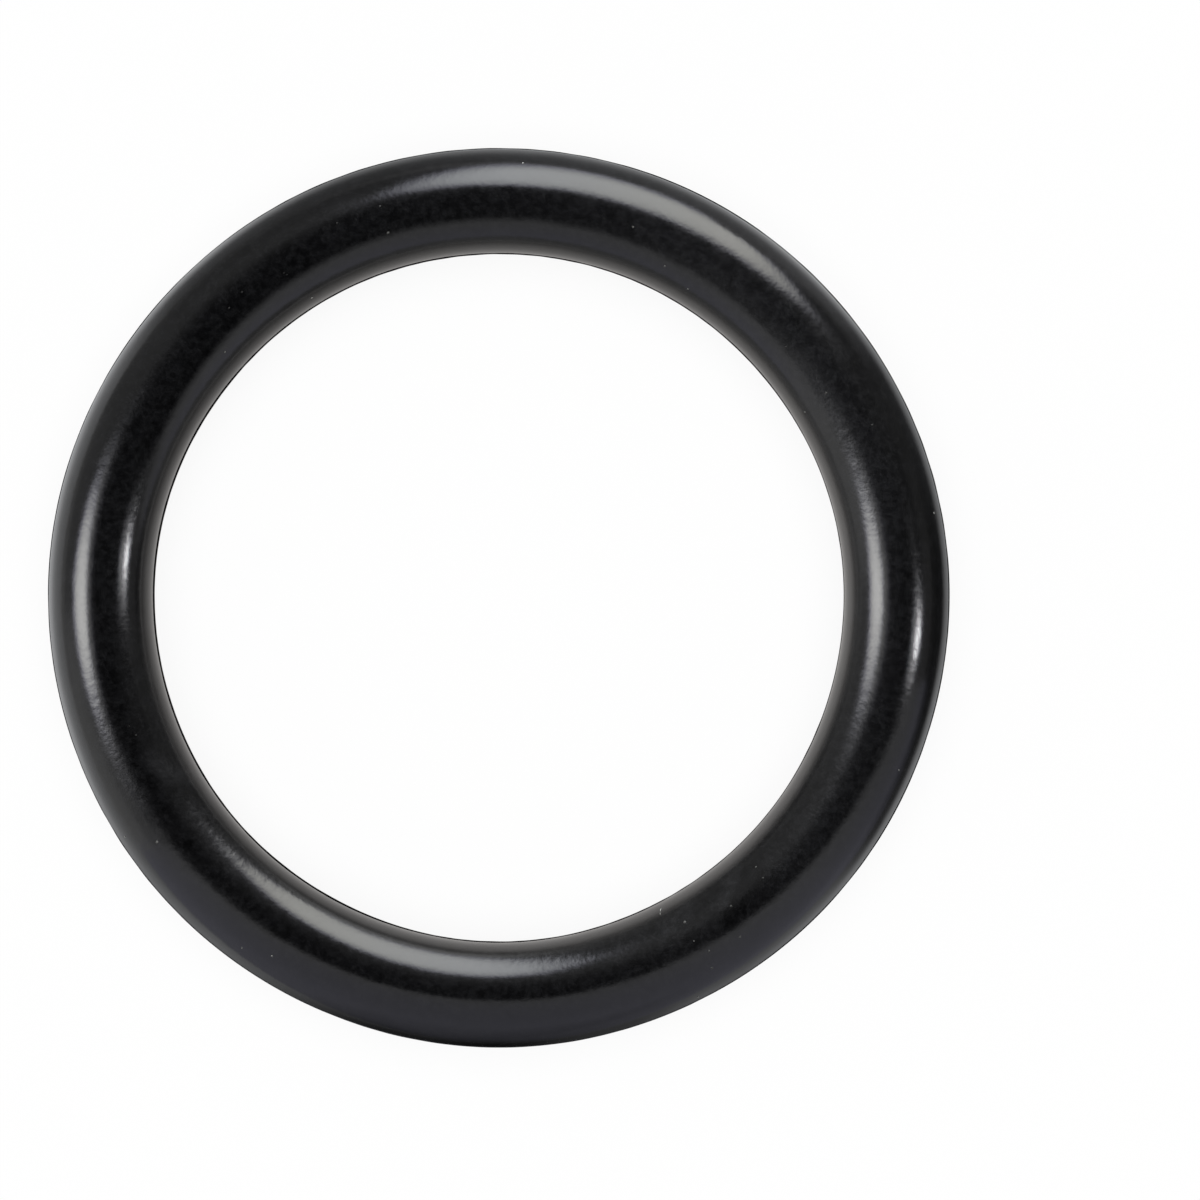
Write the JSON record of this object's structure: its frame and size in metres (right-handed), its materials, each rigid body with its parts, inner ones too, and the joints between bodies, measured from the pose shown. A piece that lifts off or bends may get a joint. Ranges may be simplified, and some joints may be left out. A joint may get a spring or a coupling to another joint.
{
  "type": "rubber o-ring",
  "caption": "Closed ring of round black rubber cord with a fine moulding ridge inside and out, stretched into a groove as a seal or a retaining ring.",
  "frame": {"origin": "centre of the ring, at the middle of its cord's height", "axes": "+Z along the ring's axis, up from the surface on which it lies flat; X and Y in the plane of the ring"},
  "size_m": [0.043, 0.043, 0.005],
  "materials": {
    "rubber": "satin"
  },
  "bodies": {
    "root": {"o_ring": "rubber"}
  },
  "joints": []
}
